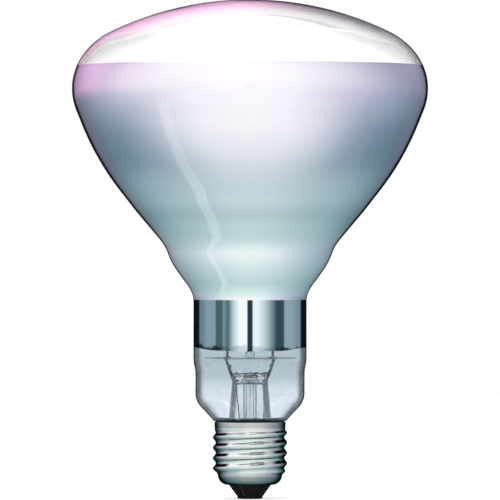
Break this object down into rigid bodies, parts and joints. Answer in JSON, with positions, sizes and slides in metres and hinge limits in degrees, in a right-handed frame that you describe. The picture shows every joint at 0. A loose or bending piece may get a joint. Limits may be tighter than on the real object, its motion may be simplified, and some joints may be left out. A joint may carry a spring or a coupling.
{
  "type": "infrared heat lamp bulb",
  "caption": "Reflector heat lamp: hollow blown glass bulb with mirrored sides, clear face and clear lower neck, stem with ring filament inside, and a right-hand screw cap with end contact.",
  "frame": {"origin": "middle of the end contact's flat face, the lowest point of the lamp", "axes": "+Z along the lamp's axis from the cap towards the clear face; -Y is the side the picture shows, +X its right"},
  "size_m": [0.125, 0.125, 0.1752],
  "materials": {
    "bulb_glass": "clear hard glass, fire polished",
    "mirror_film": "satin silver, vapour-deposited aluminium",
    "stem_glass": "clear glass, pressed and drawn",
    "nickel_wire": "drawn nickel wire",
    "seal_wire": "dark copper-clad seal wire",
    "copper_wire": "thin copper wire",
    "mica": "mica sheet",
    "tungsten": "coiled tungsten wire",
    "molybdenum": "drawn molybdenum wire",
    "cap_metal": "rolled brass sheet with bright nickel plate",
    "insulator_glass": "black opaque glass, moulded",
    "contact_brass": "stamped brass, dulled",
    "solder": "soft solder",
    "cement": "cured capping cement"
  },
  "bodies": {
    "root": {"glass_bulb": "bulb_glass", "mirror_coating": "mirror_film", "stem_glass": "stem_glass", "exhaust_tube": "stem_glass", "centre_rod": "stem_glass", "inner_lead_left": "nickel_wire", "inner_lead_right": "nickel_wire", "seal_wire_left": "seal_wire", "seal_wire_right": "seal_wire", "outer_lead_left": "copper_wire", "outer_lead_right": "copper_wire", "heat_deflector": "mica", "deflector_eyelet_left": "nickel_wire", "deflector_eyelet_right": "nickel_wire", "filament": "tungsten", "cap_shell": "cap_metal", "cap_insulator": "insulator_glass", "centre_contact": "contact_brass", "centre_solder": "solder", "side_solder": "solder", "capping_cement": "cement", "filament_support_1": "molybdenum", "filament_support_2": "molybdenum", "filament_support_3": "molybdenum", "filament_support_4": "molybdenum", "filament_support_5": "molybdenum"}
  },
  "joints": []
}
